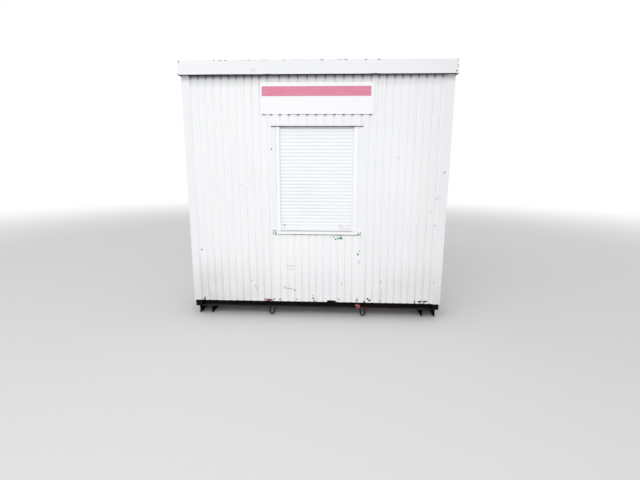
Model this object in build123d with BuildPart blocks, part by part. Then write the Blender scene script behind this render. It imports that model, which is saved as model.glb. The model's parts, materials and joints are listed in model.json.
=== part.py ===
from build123d import *
import os
from math import atan, cos, degrees, hypot, radians, sin

os.makedirs("parts", exist_ok=True)

# A portable site cabin, in millimetres. X runs across the end with the window, Y along the cabin
# and Z up. The window end is at -Y, the ground at Z = 0 and the origin in the middle of the footprint.

# Whole cabin
cabin_width = 3000
cabin_length = 6000
cladding_bottom = 184
wall_top = 2880
wall_thickness = 60

# Base frame: skids below mitred rails, which stand back from the cladding
skid_height = 95
skid_width = 160
skid_wall = 8
rail_height = 120
rail_flange = 55
rail_wall = 8
rail_inset = 45
joist_height = 100
joist_width = 50
joist_wall = 6
joist_spacing = 590
deck_thickness = 22

# Corner feet: blocks in the open corners of the rails, below the corner posts
corner_foot_setback = 13
corner_foot_radius = 4

# Towing eyes: bent round bar, welded under the front rail and sloping out
eye_spacing = 1112
eye_shift = 18
eye_bar = 16
eye_bend = 27
eye_root = 23
eye_slope = 45
eye_reach = 72

# Ribbed steel cladding with flat corner posts
post_width = 88
post_edge_radius = 6
rib_pitch = 85.4
cover_rib_pitch = 101
first_rib_left = 19
first_rib_right = 75
first_rib_below = 87
first_rib_above = 102
groove_mouth = 26
groove_floor = 12
groove_depth = 9

# Ceiling and roof sheet
ceiling_void = 280
ceiling_thickness = 40
roof_edge_gap = 10
roof_fall = 0.015
roof_base = 8
roof_rib_height = 16
roof_rib_pitch = 250
roof_rib_foot = 60
roof_rib_crown = 30

# Folded fascia round the roof edge, with a kicked-out drip lip
fascia_lap = 96
fascia_height = 147
fascia_sheet = 4
fascia_proud = 18
fascia_return = 70
lip_height = 22
lip_kick = 12

# Window opening in the front end
window_x = 9
opening_width = 1030
opening_height = 1223
head_below_wall_top = 623
jamb_width = 49
jamb_setback = 4

# Sill, with a cap at each end
sill_rise = 32
sill_nose_rise = 16
sill_nose_drop = 14
sill_nose_reach = 16
sill_nose_wall = 5
sill_cap_width = 30
sill_cap_margin = 1.5

# Head flashing
head_flashing_width = 1036
head_flashing_reach = 10
head_flashing_drop = 12
head_flashing_upstand = 12
head_flashing_sheet = 2

# Roller shutter: curtain of curved slats in channel guides, with its box inside above the window
guide_width = 36
guide_setback = 2
guide_depth = 38
slot_start = 15
slot_width = 15
slot_depth = 26
curtain_side_gap = 4
slat_pitch = 39.5
slat_back = 28
slat_thickness = 4
slat_bulge = 6.5
slat_joint = 3
bottom_bar_height = 57
bottom_bar_depth = 17
bottom_bar_radius = 3
bottom_bar_gap = 2
bottom_bar_seat = 0.3
box_height = 180
box_depth = 178
box_radius = 45
cover_skin = 22

# Inner window behind the shutter
frame_bar = 58
frame_depth = 56
frame_setback = 43
glass_thickness = 24
glass_cover = 15

# Door in the rear end
door_unit_width = 945
door_unit_height = 2040
door_frame_bar = 45
door_stop = 14
door_setback = 22
door_leaf_thickness = 40
door_gap = 3
threshold_lip = 6
hinge_diameter = 16
hinge_length = 110
hinge_from_end = 240
handle_height = 1030
handle_from_edge = 55
handle_plate_width = 34
handle_plate_height = 190
handle_plate_thickness = 4
handle_plate_radius = 8
handle_neck_length = 18
handle_bar = 16
lever_length = 125
lever_thickness = 14

# Sign board above the window
sign_width = 1256
sign_height = 335
sign_below_fascia = 79
sign_thickness = 12
sign_edge_chamfer = 1.5

# Levels and distances that follow from the sizes above
half_width = cabin_width / 2
half_length = cabin_length / 2
rail_top = skid_height + rail_height
floor_level = rail_top + deck_thickness
fascia_bottom = wall_top - fascia_lap
fascia_top = fascia_bottom + fascia_height
ceiling_level = wall_top - ceiling_void - ceiling_thickness
sign_bottom = fascia_bottom - sign_below_fascia - sign_height
inner_half_width = half_width - wall_thickness
inner_half_length = half_length - wall_thickness
window_left = window_x - opening_width / 2
window_right = window_x + opening_width / 2
guide_outer = opening_width / 2 - jamb_width
guide_inner = guide_outer - guide_width
opening_head = wall_top - head_below_wall_top
sill_seat = opening_head - opening_height
sill_back_top = sill_seat + sill_rise
sill_nose_top = sill_seat + sill_nose_rise
sill_nose_bottom = sill_seat - sill_nose_drop
up = Vector(0, 0, 1)


def outward_of(side):
    """Direction that a side of the cabin faces."""
    directions = {
        "front": Vector(0, -1, 0),
        "rear": Vector(0, 1, 0),
        "left": Vector(-1, 0, 0),
        "right": Vector(1, 0, 0),
    }
    return directions[side]


def half_run_of(side):
    """Half the length of a side."""
    return half_width if side in ("front", "rear") else half_length


def foot_of(side):
    """Middle of a side's cladding face, at ground level."""
    reach = half_length if side in ("front", "rear") else half_width
    return outward_of(side) * reach


def plan_plane(side, level):
    """Level plane with its X along the side and its Y inward from the cladding face."""
    inward = outward_of(side) * -1
    return Plane(origin=foot_of(side) + up * level, x_dir=inward.cross(up), z_dir=up)


def section_plane(side, along=0):
    """Upright plane across the side, with its X inward from the cladding face and its Y up."""
    inward = outward_of(side) * -1
    run = inward.cross(up)
    return Plane(origin=foot_of(side) + run * along, x_dir=inward, z_dir=run)


def mitre_ends(side):
    """Cuts both ends of a run at 45 degrees through the cabin's corners."""
    inward = outward_of(side) * -1
    run = inward.cross(up)
    for end in (-1, 1):
        corner = foot_of(side) + run * (end * half_run_of(side))
        split(bisect_by=Plane(origin=corner, z_dir=run * end + inward), keep=Keep.BOTTOM)


def clear_of_rails(level):
    """Cuts away what reaches in over the base rails, so a wall sits on them and laps them."""
    with BuildSketch(Plane.XY.offset(level)) as cut:
        Rectangle(cabin_width - 2 * rail_inset, cabin_length - 2 * rail_inset)
    extrude(cut.sketch, amount=rail_top - level, mode=Mode.SUBTRACT)


def ribbed_wall(side, start, end, bottom, top, pitch, first=None):
    """Wall panel between two places along a side, grooved outside from its first groove onwards."""
    width = end - start
    middle = (start + end) / 2
    if first is None:
        grooves = int((width - groove_mouth) / pitch)
        grooves_middle = middle
    else:
        grooves = int((width - first - groove_mouth / 2) / pitch) + 1
        grooves_middle = start + first + (grooves - 1) * pitch / 2
    flank_run = (groove_mouth - groove_floor) / 2
    flank_angle = 90 - degrees(atan(flank_run / groove_depth))
    with BuildSketch(plan_plane(side, bottom)) as profile:
        with Locations((middle, wall_thickness / 2)):
            Rectangle(width, wall_thickness)
        with Locations((grooves_middle, groove_depth / 2)):
            with GridLocations(pitch, 0, grooves, 1):
                Trapezoid(groove_mouth, groove_depth, flank_angle, mode=Mode.SUBTRACT)
    extrude(profile.sketch, amount=top - bottom)
    if bottom < rail_top:
        clear_of_rails(bottom)


# Skids
for side_name, side_sign in (("left", -1), ("right", 1)):
    skid_x = side_sign * (half_width - rail_inset - skid_width / 2)
    with BuildPart() as skid:
        with BuildSketch(Plane.XZ.offset(-half_length + rail_inset)):
            with Locations((skid_x, skid_height / 2)):
                Rectangle(skid_width, skid_height)
            with Locations((skid_x, (skid_height - skid_wall) / 2)):
                Rectangle(skid_width - 2 * skid_wall, skid_height - skid_wall, mode=Mode.SUBTRACT)
        extrude(amount=2 * (half_length - rail_inset))
    skid.part.label = f"skid_{side_name}"
    export_step(skid.part, f"parts/skid_{side_name}.step")

# Base rails: channels with their open side out
for side_name in ("front", "rear", "left", "right"):
    with BuildPart() as rail:
        with BuildSketch(section_plane(side_name)):
            with Locations((rail_inset + rail_flange / 2, skid_height + rail_height / 2)):
                Rectangle(rail_flange, rail_height)
            with Locations((rail_inset + (rail_flange - rail_wall) / 2, skid_height + rail_height / 2)):
                Rectangle(rail_flange - rail_wall, rail_height - 2 * rail_wall, mode=Mode.SUBTRACT)
        extrude(amount=half_run_of(side_name), both=True)
        mitre_ends(side_name)
    rail.part.label = f"{side_name}_rail"
    export_step(rail.part, f"parts/{side_name}_rail.step")

# Corner feet, on the lower flanges and against the webs
corner_foot_width = rail_inset + rail_flange - rail_wall - corner_foot_setback
corner_foot_x = half_width - corner_foot_setback - corner_foot_width / 2
corner_foot_y = half_length - corner_foot_setback - corner_foot_width / 2
with BuildPart() as corner_feet:
    with BuildSketch(Plane.XY.offset(skid_height + rail_wall)):
        with GridLocations(2 * corner_foot_x, 2 * corner_foot_y, 2, 2):
            RectangleRounded(corner_foot_width, corner_foot_width, corner_foot_radius)
    extrude(amount=cladding_bottom - skid_height - rail_wall)
corner_feet.part.label = "corner_feet"
export_step(corner_feet.part, "parts/corner_feet.step")

# Floor joists, from web to web of the side rails
joist_count = int((cabin_length - 2 * (rail_inset + rail_flange)) / joist_spacing)
joist_half_span = half_width - rail_inset - rail_flange
with BuildPart() as floor_joists:
    with BuildSketch(Plane.YZ):
        with Locations((0, rail_top - joist_height / 2)):
            with GridLocations(joist_spacing, 0, joist_count, 1):
                Rectangle(joist_width, joist_height)
        with Locations((joist_wall / 2, rail_top - joist_height / 2)):
            with GridLocations(joist_spacing, 0, joist_count, 1):
                Rectangle(joist_width - joist_wall, joist_height - 2 * joist_wall, mode=Mode.SUBTRACT)
    extrude(amount=joist_half_span, both=True)
floor_joists.part.label = "floor_joists"
export_step(floor_joists.part, "parts/floor_joists.step")

# Floor deck
with BuildPart() as floor_deck:
    with BuildSketch(Plane.XY.offset(rail_top)):
        Rectangle(2 * inner_half_width, 2 * inner_half_length)
    extrude(amount=deck_thickness)
floor_deck.part.label = "floor_deck"
export_step(floor_deck.part, "parts/floor_deck.step")

# Towing eyes: a U of round bar in a sloping plane, cut off level under the front rail
towing_direction = outward_of("front")
eye_root_middle = foot_of("front") - towing_direction * (rail_inset + eye_root) + up * skid_height
eye_fall = towing_direction * cos(radians(eye_slope)) - up * sin(radians(eye_slope))
across = Vector(1, 0, 0)
with BuildPart() as towing_eyes:
    for eye_x in (eye_shift - eye_spacing / 2, eye_shift + eye_spacing / 2):
        eye_plane = Plane(origin=eye_root_middle + across * eye_x, x_dir=across, z_dir=across.cross(eye_fall))
        with BuildLine(eye_plane) as eye_route:
            Line((-eye_bend, -eye_bar), (-eye_bend, eye_reach))
            CenterArc((0, eye_reach), eye_bend, 180, -180)
            Line((eye_bend, eye_reach), (eye_bend, -eye_bar))
        eye_path = eye_route.wires()[0]
        with BuildSketch(Plane(origin=eye_path @ 0, z_dir=eye_path % 0)):
            Circle(eye_bar / 2)
        sweep(path=eye_path)
    split(bisect_by=Plane.XY.offset(skid_height), keep=Keep.BOTTOM)
towing_eyes.part.label = "towing_eyes"
export_step(towing_eyes.part, "parts/towing_eyes.step")

# Corner posts: their outer faces show as flat strips beside the ribs
for end_name, end_sign in (("front", -1), ("rear", 1)):
    for side_name, side_sign in (("left", -1), ("right", 1)):
        with BuildPart() as corner_post:
            with BuildSketch(plan_plane(end_name, cladding_bottom)):
                with Locations((-side_sign * end_sign * (half_width - post_width / 2), wall_thickness / 2)):
                    Rectangle(post_width, wall_thickness)
            extrude(amount=wall_top - cladding_bottom)
            outer_edge = corner_post.edges().filter_by(Axis.Z).sort_by(
                lambda edge: side_sign * edge.center().X + end_sign * edge.center().Y)[-1]
            fillet(outer_edge, post_edge_radius)
            clear_of_rails(cladding_bottom)
        corner_post.part.label = f"corner_post_{end_name}_{side_name}"
        export_step(corner_post.part, f"parts/corner_post_{end_name}_{side_name}.step")

# Side walls, between the posts
for side_name in ("left", "right"):
    with BuildPart() as side_wall:
        ribbed_wall(side_name, -inner_half_length, inner_half_length, cladding_bottom, wall_top, rib_pitch)
    side_wall.part.label = f"{side_name}_wall"
    export_step(side_wall.part, f"parts/{side_name}_wall.step")

# Front wall, beside, below and above the window
end_wall_end = half_width - post_width
with BuildPart() as front_wall_left:
    ribbed_wall("front", -end_wall_end, window_left, cladding_bottom, wall_top, rib_pitch, first_rib_left)
front_wall_left.part.label = "front_wall_left"
export_step(front_wall_left.part, "parts/front_wall_left.step")

with BuildPart() as front_wall_right:
    ribbed_wall("front", window_right, end_wall_end, cladding_bottom, wall_top, rib_pitch, first_rib_right)
front_wall_right.part.label = "front_wall_right"
export_step(front_wall_right.part, "parts/front_wall_right.step")

with BuildPart() as front_wall_below_window:
    ribbed_wall("front", window_left, window_right, cladding_bottom, sill_seat, rib_pitch, first_rib_below)
front_wall_below_window.part.label = "front_wall_below_window"
export_step(front_wall_below_window.part, "parts/front_wall_below_window.step")

# The panel above the window has its own rib spacing, because it covers the shutter box
with BuildPart() as front_wall_above_window:
    ribbed_wall("front", window_left, window_right, opening_head, wall_top, cover_rib_pitch, first_rib_above)
    with BuildSketch(plan_plane("front", opening_head)):
        with Locations((window_x, (cover_skin + wall_thickness) / 2)):
            Rectangle(2 * guide_outer, wall_thickness - cover_skin)
    extrude(amount=box_height, mode=Mode.SUBTRACT)
front_wall_above_window.part.label = "front_wall_above_window"
export_step(front_wall_above_window.part, "parts/front_wall_above_window.step")

# Rear wall, beside and above the door. Along the rear end, the plan plane's X runs the other way.
door_half = door_unit_width / 2
door_head = floor_level + door_unit_height
with BuildPart() as rear_wall_left:
    ribbed_wall("rear", door_half, end_wall_end, cladding_bottom, wall_top, rib_pitch)
rear_wall_left.part.label = "rear_wall_left"
export_step(rear_wall_left.part, "parts/rear_wall_left.step")

with BuildPart() as rear_wall_right:
    ribbed_wall("rear", -end_wall_end, -door_half, cladding_bottom, wall_top, rib_pitch)
rear_wall_right.part.label = "rear_wall_right"
export_step(rear_wall_right.part, "parts/rear_wall_right.step")

with BuildPart() as rear_wall_above_door:
    ribbed_wall("rear", -door_half, door_half, door_head, wall_top, rib_pitch)
rear_wall_above_door.part.label = "rear_wall_above_door"
export_step(rear_wall_above_door.part, "parts/rear_wall_above_door.step")

# Ceiling panel between the walls
with BuildPart() as ceiling_panel:
    with BuildSketch(Plane.XY.offset(ceiling_level)):
        Rectangle(2 * inner_half_width, 2 * inner_half_length)
    extrude(amount=ceiling_thickness)
ceiling_panel.part.label = "ceiling_panel"
export_step(ceiling_panel.part, "parts/ceiling_panel.step")

# Roof sheet: ribs across the cabin, falling from the middle to both long sides
roof_half_width = half_width - roof_edge_gap
roof_half_length = half_length - roof_edge_gap
roof_rib_angle = degrees(atan(2 * roof_rib_height / (roof_rib_foot - roof_rib_crown)))
ridge_under = wall_top + roof_fall * roof_half_width
roof_ribs = int(2 * roof_half_length / roof_rib_pitch)
with BuildPart() as roof_sheet:
    for side_sign in (-1, 1):
        with BuildSketch(Plane.YZ):
            with Locations((0, ridge_under + roof_base / 2)):
                Rectangle(2 * roof_half_length, roof_base)
            with Locations((0, ridge_under + roof_base + roof_rib_height / 2)):
                with GridLocations(roof_rib_pitch, 0, roof_ribs, 1):
                    Trapezoid(roof_rib_foot, roof_rib_height, roof_rib_angle)
        extrude(amount=hypot(roof_half_width, roof_fall * roof_half_width), dir=(side_sign, 0, -roof_fall))
roof_sheet.part.label = "roof_sheet"
export_step(roof_sheet.part, "parts/roof_sheet.step")

# Fascia: top return, face, drip lip and a foot that bears on the cladding
web_foot = fascia_bottom + lip_height
for side_name in ("front", "rear", "left", "right"):
    with BuildPart() as fascia:
        with BuildSketch(section_plane(side_name)):
            with BuildLine():
                Polyline(
                    (fascia_return, fascia_top),
                    (-fascia_proud, fascia_top),
                    (-fascia_proud, web_foot),
                    (-fascia_proud - lip_kick, fascia_bottom),
                    (-fascia_proud - lip_kick + fascia_sheet, fascia_bottom),
                    (-fascia_proud + fascia_sheet, web_foot - fascia_sheet),
                    (0, web_foot - fascia_sheet),
                    (0, web_foot),
                    (-fascia_proud + fascia_sheet, web_foot),
                    (-fascia_proud + fascia_sheet, fascia_top - fascia_sheet),
                    (fascia_return, fascia_top - fascia_sheet),
                    close=True,
                )
            make_face()
        extrude(amount=half_run_of(side_name) + fascia_proud + lip_kick, both=True)
        mitre_ends(side_name)
    fascia.part.label = f"fascia_{side_name}"
    export_step(fascia.part, f"parts/fascia_{side_name}.step")

# Window sill: sloping top, nose that hangs in front of the wall
with BuildPart() as window_sill:
    with BuildSketch(section_plane("front", window_x)):
        with BuildLine():
            Polyline(
                (wall_thickness, sill_back_top),
                (-sill_nose_reach, sill_nose_top),
                (-sill_nose_reach, sill_nose_bottom),
                (-sill_nose_reach + sill_nose_wall, sill_nose_bottom),
                (-sill_nose_reach + sill_nose_wall, sill_seat),
                (wall_thickness, sill_seat),
                close=True,
            )
        make_face()
    extrude(amount=opening_width / 2 - sill_cap_width, both=True)
window_sill.part.label = "window_sill"
export_step(window_sill.part, "parts/window_sill.step")

# Sill caps
with BuildPart() as sill_caps:
    for end in (-1, 1):
        cap_middle = window_x + end * (opening_width / 2 - sill_cap_width / 2)
        with BuildSketch(section_plane("front", cap_middle)):
            with BuildLine():
                Polyline(
                    (wall_thickness, sill_back_top),
                    (-sill_nose_reach - sill_cap_margin, sill_nose_top),
                    (-sill_nose_reach - sill_cap_margin, sill_nose_bottom - sill_cap_margin),
                    (-sill_cap_margin, sill_nose_bottom - sill_cap_margin),
                    (-sill_cap_margin, sill_seat),
                    (wall_thickness, sill_seat),
                    close=True,
                )
            make_face()
        extrude(amount=sill_cap_width / 2, both=True)
sill_caps.part.label = "sill_caps"
export_step(sill_caps.part, "parts/sill_caps.step")

# Jambs: flat strips between the ribbed wall and the guides, standing on the sloping sill
with BuildPart() as window_jambs:
    with BuildSketch(plan_plane("front", sill_seat)):
        for end in (-1, 1):
            with Locations((window_x + end * (guide_outer + jamb_width / 2), (jamb_setback + wall_thickness) / 2)):
                Rectangle(jamb_width, wall_thickness - jamb_setback)
    extrude(amount=opening_head - sill_seat)
    add(window_sill.part, mode=Mode.SUBTRACT)
    add(sill_caps.part, mode=Mode.SUBTRACT)
window_jambs.part.label = "window_jambs"
export_step(window_jambs.part, "parts/window_jambs.step")

# Head flashing: upstand on the wall and a shelf that sheds water
flashing_foot = opening_head - head_flashing_drop
with BuildPart() as window_head_flashing:
    with BuildSketch(section_plane("front", window_x)):
        with BuildLine():
            Polyline(
                (0, opening_head + head_flashing_upstand),
                (-head_flashing_sheet, opening_head + head_flashing_upstand),
                (-head_flashing_sheet, opening_head),
                (-head_flashing_reach, flashing_foot + head_flashing_drop / 2),
                (-head_flashing_reach, flashing_foot),
                (-head_flashing_reach + head_flashing_sheet, flashing_foot),
                (-head_flashing_reach + head_flashing_sheet, flashing_foot + head_flashing_drop / 2 - 1),
                (0, opening_head - head_flashing_sheet),
                close=True,
            )
        make_face()
    extrude(amount=head_flashing_width / 2, both=True)
window_head_flashing.part.label = "window_head_flashing"
export_step(window_head_flashing.part, "parts/window_head_flashing.step")

# Shutter guides: channels whose slots face each other
with BuildPart() as shutter_guides:
    with BuildSketch(plan_plane("front", sill_seat)):
        for end in (-1, 1):
            with Locations((window_x + end * (guide_outer - guide_width / 2), guide_setback + guide_depth / 2)):
                Rectangle(guide_width, guide_depth)
            with Locations((window_x + end * (guide_inner + slot_depth / 2), slot_start + slot_width / 2)):
                Rectangle(slot_depth, slot_width, mode=Mode.SUBTRACT)
    extrude(amount=opening_head - sill_seat)
    add(window_sill.part, mode=Mode.SUBTRACT)
shutter_guides.part.label = "shutter_guides"
export_step(shutter_guides.part, "parts/shutter_guides.step")

# Bottom bar of the shutter, resting on the sill
sill_slope = (sill_back_top - sill_nose_top) / (wall_thickness + sill_nose_reach)
bar_back = slot_start + slot_width - bottom_bar_gap / 2
bar_bottom = sill_nose_top + sill_slope * (bar_back + sill_nose_reach) + bottom_bar_seat
bar_top = bar_bottom + bottom_bar_height
with BuildPart() as shutter_bottom_bar:
    with BuildSketch(section_plane("front", window_x)):
        with Locations((bar_back - bottom_bar_depth / 2, (bar_bottom + bar_top) / 2)):
            RectangleRounded(bottom_bar_depth, bottom_bar_height, bottom_bar_radius)
    extrude(amount=guide_inner - bottom_bar_gap, both=True)
shutter_bottom_bar.part.label = "shutter_bottom_bar"
export_step(shutter_bottom_bar.part, "parts/shutter_bottom_bar.step")

# Shutter curtain: each slat bows outward between its two joints
slat_count = int((opening_head - bar_top) / slat_pitch) + 1
slat_front = slat_back - slat_thickness
with BuildPart() as shutter_curtain:
    with BuildSketch(section_plane("front", window_x)):
        with BuildLine() as curtain_outline:
            for slat in range(slat_count):
                slat_foot = bar_top + slat * slat_pitch
                bow_foot = slat_foot + slat_joint
                bow_top = slat_foot + slat_pitch
                Line((slat_front, slat_foot), (slat_front, bow_foot))
                ThreePointArc((slat_front, bow_foot), (slat_front - slat_bulge, (bow_foot + bow_top) / 2),
                              (slat_front, bow_top))
            curtain_top = bar_top + slat_count * slat_pitch
            Polyline((slat_front, curtain_top), (slat_back, curtain_top), (slat_back, bar_top),
                     (slat_front, bar_top))
        make_face()
    extrude(amount=guide_inner + slot_depth - curtain_side_gap, both=True)
    split(bisect_by=Plane.XY.offset(opening_head), keep=Keep.BOTTOM)
shutter_curtain.part.label = "shutter_curtain"
export_step(shutter_curtain.part, "parts/shutter_curtain.step")

# Shutter box, behind the panel above the window
with BuildPart() as shutter_box:
    with BuildSketch(section_plane("front", window_x)):
        with Locations((cover_skin + box_depth / 2, opening_head + box_height / 2)):
            Rectangle(box_depth, box_height)
    extrude(amount=guide_outer, both=True)
    room_edges = shutter_box.edges().filter_by(Axis.X).sort_by(Axis.Y)[-2:]
    fillet(room_edges, box_radius)
shutter_box.part.label = "shutter_box"
export_step(shutter_box.part, "parts/shutter_box.step")

# Inner window frame, standing on the back of the sill
with BuildPart() as window_frame:
    frame_height = opening_head - sill_back_top
    face_plane = Plane(origin=(window_x, -half_length + frame_setback, sill_back_top + frame_height / 2),
                       x_dir=(1, 0, 0), z_dir=(0, -1, 0))
    with BuildSketch(face_plane):
        Rectangle(2 * guide_outer, frame_height)
        Rectangle(2 * (guide_outer - frame_bar), frame_height - 2 * frame_bar, mode=Mode.SUBTRACT)
    extrude(amount=-frame_depth)
    with BuildSketch(face_plane.offset(-(frame_depth - glass_thickness) / 2)):
        Rectangle(2 * (guide_outer - frame_bar + glass_cover), frame_height - 2 * (frame_bar - glass_cover))
    extrude(amount=-glass_thickness, mode=Mode.SUBTRACT)
window_frame.part.label = "window_frame"
export_step(window_frame.part, "parts/window_frame.step")

# Double glazing, held in the frame's groove
with BuildPart() as window_glass:
    with BuildSketch(face_plane.offset(-(frame_depth - glass_thickness) / 2)):
        Rectangle(2 * (guide_outer - frame_bar + glass_cover), frame_height - 2 * (frame_bar - glass_cover))
    extrude(amount=-glass_thickness)
window_glass.part.label = "window_glass"
export_step(window_glass.part, "parts/window_glass.step")

# Door threshold, over the rear rail
with BuildPart() as door_threshold:
    with BuildSketch(plan_plane("rear", cladding_bottom)):
        with Locations((0, (wall_thickness - threshold_lip) / 2)):
            Rectangle(door_unit_width, wall_thickness + threshold_lip)
    extrude(amount=floor_level - cladding_bottom)
    clear_of_rails(cladding_bottom)
door_threshold.part.label = "door_threshold"
export_step(door_threshold.part, "parts/door_threshold.step")

# Door frame: two posts and a head, with a stop that the leaf closes against
leaf_outer_width = door_unit_width - 2 * door_frame_bar
with BuildPart() as door_frame:
    with BuildSketch(plan_plane("rear", floor_level)):
        Rectangle(door_unit_width, wall_thickness, align=(Align.CENTER, Align.MIN))
    extrude(amount=door_unit_height)
    with BuildSketch(plan_plane("rear", floor_level)):
        with Locations((0, 0)):
            Rectangle(leaf_outer_width, door_setback + door_leaf_thickness - door_stop,
                      align=(Align.CENTER, Align.MIN))
    extrude(amount=door_unit_height - door_frame_bar, mode=Mode.SUBTRACT)
    with BuildSketch(plan_plane("rear", floor_level)):
        Rectangle(leaf_outer_width - 2 * door_stop, wall_thickness, align=(Align.CENTER, Align.MIN))
    extrude(amount=door_unit_height - door_frame_bar - door_stop, mode=Mode.SUBTRACT)
door_frame.part.label = "door_frame"
export_step(door_frame.part, "parts/door_frame.step")

# Door leaf: flat steel skins, rebated at the edges to close against the stop
leaf_half = leaf_outer_width / 2 - door_gap
leaf_height = door_unit_height - door_frame_bar - 2 * door_gap
with BuildPart() as door_leaf:
    with BuildSketch(plan_plane("rear", floor_level + door_gap)):
        with Locations((0, door_setback)):
            Rectangle(2 * leaf_half, door_leaf_thickness - door_stop, align=(Align.CENTER, Align.MIN))
    extrude(amount=leaf_height)
    with BuildSketch(plan_plane("rear", floor_level + door_gap)):
        with Locations((0, door_setback + door_leaf_thickness - door_stop)):
            Rectangle(2 * (leaf_half - door_stop), door_stop, align=(Align.CENTER, Align.MIN))
    extrude(amount=leaf_height - door_stop)
door_leaf.part.label = "door_leaf"
export_step(door_leaf.part, "parts/door_leaf.step")

# Door hinges: barrels that lie in the gap between leaf and frame
with BuildPart() as door_hinges:
    for level in (hinge_from_end, leaf_height / 2, leaf_height - hinge_from_end - hinge_length):
        with BuildSketch(plan_plane("rear", floor_level + level)):
            with Locations((leaf_half + door_gap / 2, door_setback - hinge_diameter / 2)):
                Circle(hinge_diameter / 2)
        extrude(amount=hinge_length)
    add(door_leaf.part, mode=Mode.SUBTRACT)
    add(door_frame.part, mode=Mode.SUBTRACT)
door_hinges.part.label = "door_hinges"
export_step(door_hinges.part, "parts/door_hinges.step")

# Door handle: plate, neck and lever
handle_x = leaf_half - handle_from_edge
with BuildPart() as door_handle:
    handle_z = floor_level + handle_height
    handle_face = Plane(origin=(handle_x, half_length - door_setback, handle_z), x_dir=(-1, 0, 0), z_dir=(0, 1, 0))
    with BuildSketch(handle_face):
        RectangleRounded(handle_plate_width, handle_plate_height, handle_plate_radius)
    extrude(amount=handle_plate_thickness)
    with BuildSketch(handle_face.offset(handle_plate_thickness)):
        Circle(handle_bar / 2)
    extrude(amount=handle_neck_length)
    with BuildSketch(handle_face.offset(handle_plate_thickness + handle_neck_length)):
        with Locations((lever_length / 2 - handle_bar / 2, 0)):
            SlotOverall(lever_length, handle_bar)
    extrude(amount=lever_thickness)
door_handle.part.label = "door_handle"
export_step(door_handle.part, "parts/door_handle.step")

# Sign board on the rib crests above the window
with BuildPart() as sign_board:
    with BuildSketch(Plane(origin=(window_x, -half_length, sign_bottom + sign_height / 2),
                           x_dir=(1, 0, 0), z_dir=(0, -1, 0))):
        Rectangle(sign_width, sign_height)
    extrude(amount=sign_thickness)
    chamfer(sign_board.faces().sort_by(Axis.Y)[0].edges(), sign_edge_chamfer)
sign_board.part.label = "sign_board"
export_step(sign_board.part, "parts/sign_board.step")
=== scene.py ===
import bpy
import json
import math
from mathutils import Matrix, Vector


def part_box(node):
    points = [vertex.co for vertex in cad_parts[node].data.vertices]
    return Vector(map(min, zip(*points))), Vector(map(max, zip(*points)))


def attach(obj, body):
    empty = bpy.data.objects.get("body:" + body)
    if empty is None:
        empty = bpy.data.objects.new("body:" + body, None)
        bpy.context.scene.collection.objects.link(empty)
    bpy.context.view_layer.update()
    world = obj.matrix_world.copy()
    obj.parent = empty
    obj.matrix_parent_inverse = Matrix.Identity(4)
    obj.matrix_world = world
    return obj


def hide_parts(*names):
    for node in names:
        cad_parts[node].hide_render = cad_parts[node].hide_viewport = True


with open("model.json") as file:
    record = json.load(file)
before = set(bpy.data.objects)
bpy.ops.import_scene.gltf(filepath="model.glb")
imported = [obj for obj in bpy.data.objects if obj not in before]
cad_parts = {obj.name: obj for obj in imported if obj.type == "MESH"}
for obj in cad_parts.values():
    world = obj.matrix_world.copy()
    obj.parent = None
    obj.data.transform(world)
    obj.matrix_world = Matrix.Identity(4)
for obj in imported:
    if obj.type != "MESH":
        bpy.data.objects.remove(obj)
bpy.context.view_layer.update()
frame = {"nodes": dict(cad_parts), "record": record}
nodes = frame["nodes"]
slotOf = {entry["node"]: entry["material_slot"] for entry in frame["record"]["subparts"]}
print("frame loaded:", len(nodes), "nodes")

# Places that the finishes and the small pieces are worked out from
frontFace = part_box("front_wall_left")[0].y
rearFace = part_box("rear_wall_left")[1].y
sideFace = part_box("right_wall")[1].x
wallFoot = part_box("front_wall_left")[0].z
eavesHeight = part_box("fascia_front")[0].z
lipReach = 0.012  # the drip lip stands out of the fascia's face
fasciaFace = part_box("fascia_front")[0].y + lipReach
openingLow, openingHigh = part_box("window_jambs")
closeBy = 0.001  # nearer than this counts as the same place


# Selection, edit mode and modifiers

def selectOnly(thing):
    for other in bpy.context.selected_objects:
        other.select_set(False)
    thing.select_set(True)
    bpy.context.view_layer.objects.active = thing


def startEditing(thing, kind="FACE"):
    selectOnly(thing)
    bpy.ops.object.mode_set(mode="EDIT")
    bpy.ops.mesh.select_mode(type=kind)


def stopEditing():
    bpy.ops.object.mode_set(mode="OBJECT")


def selectAll(action="SELECT"):
    bpy.ops.mesh.select_all(action=action)


def pick(thing, kind, test):
    # into edit mode with the faces, points or edges that pass the test
    startEditing(thing, kind)
    selectAll("DESELECT")
    stopEditing()
    parts = {"FACE": thing.data.polygons, "VERT": thing.data.vertices, "EDGE": thing.data.edges}
    for part in parts[kind]:
        part.select = bool(test(part))
    bpy.ops.object.mode_set(mode="EDIT")


def pickPoints(thing, test):
    pick(thing, "VERT", lambda point: test(point.co))


def pickEdges(thing, test):
    # edges whose ends both pass the test
    pick(thing, "EDGE", lambda edge: all(test(thing.data.vertices[end].co) for end in edge.vertices))


def pickSide(thing, *direction):
    # the faces that look this way
    pick(thing, "FACE", lambda face: face.normal.dot(Vector(direction)) > 0.9)


def movePicked(*shift):
    bpy.ops.transform.translate(value=shift)
    stopEditing()


def scalePicked(*factors):
    bpy.ops.transform.resize(value=factors)
    stopEditing()


def splitAt(thing, direction, levels):
    # edges all round where planes across this direction cut the piece
    startEditing(thing)
    for level in levels:
        selectAll()
        bpy.ops.mesh.bisect(plane_co=[level * part for part in direction], plane_no=direction)
    stopEditing()


def fixPlace(thing):
    selectOnly(thing)
    bpy.ops.object.transform_apply(location=True, rotation=True, scale=True)
    return thing


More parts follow.
